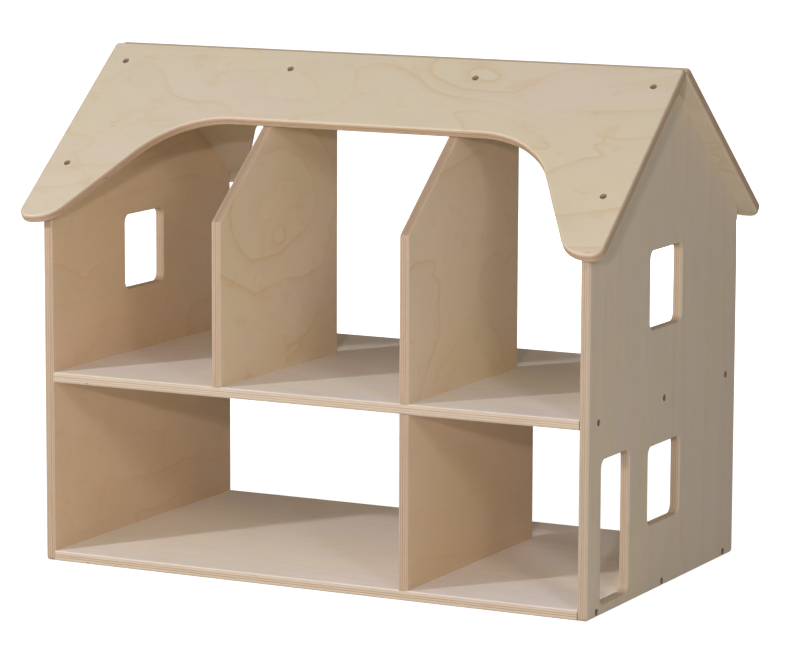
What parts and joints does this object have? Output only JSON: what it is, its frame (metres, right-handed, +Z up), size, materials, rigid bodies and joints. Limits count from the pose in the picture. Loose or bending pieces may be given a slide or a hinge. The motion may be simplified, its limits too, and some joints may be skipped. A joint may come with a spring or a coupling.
{
  "type": "dollhouse",
  "caption": "Plywood dollhouse, open front and back, with stacked rooms, a gabled roof cut to an arch at the eaves, and window and door openings in its end walls.",
  "frame": {"origin": "on the ground, at the middle of the footprint", "axes": "+X along the width to the wall with the doorway, +Y from the front to the back, +Z up"},
  "size_m": [0.755, 0.4788, 0.6061],
  "materials": {
    "birch_plywood": "clear matt lacquer",
    "screw_steel": "dull zinc"
  },
  "bodies": {
    "root": {"floor_panel": "birch_plywood", "middle_shelf": "birch_plywood", "left_gable_wall": "birch_plywood", "right_gable_wall": "birch_plywood", "upper_left_divider": "birch_plywood", "upper_right_divider": "birch_plywood", "lower_divider": "birch_plywood", "front_roof_panel": "birch_plywood", "back_roof_panel": "birch_plywood", "left_gable_screws": "screw_steel", "right_gable_screws": "screw_steel", "front_roof_screws": "screw_steel", "back_roof_screws": "screw_steel", "upper_divider_foot_screws": "screw_steel", "lower_divider_head_screws": "screw_steel", "lower_divider_foot_screws": "screw_steel"}
  },
  "joints": []
}
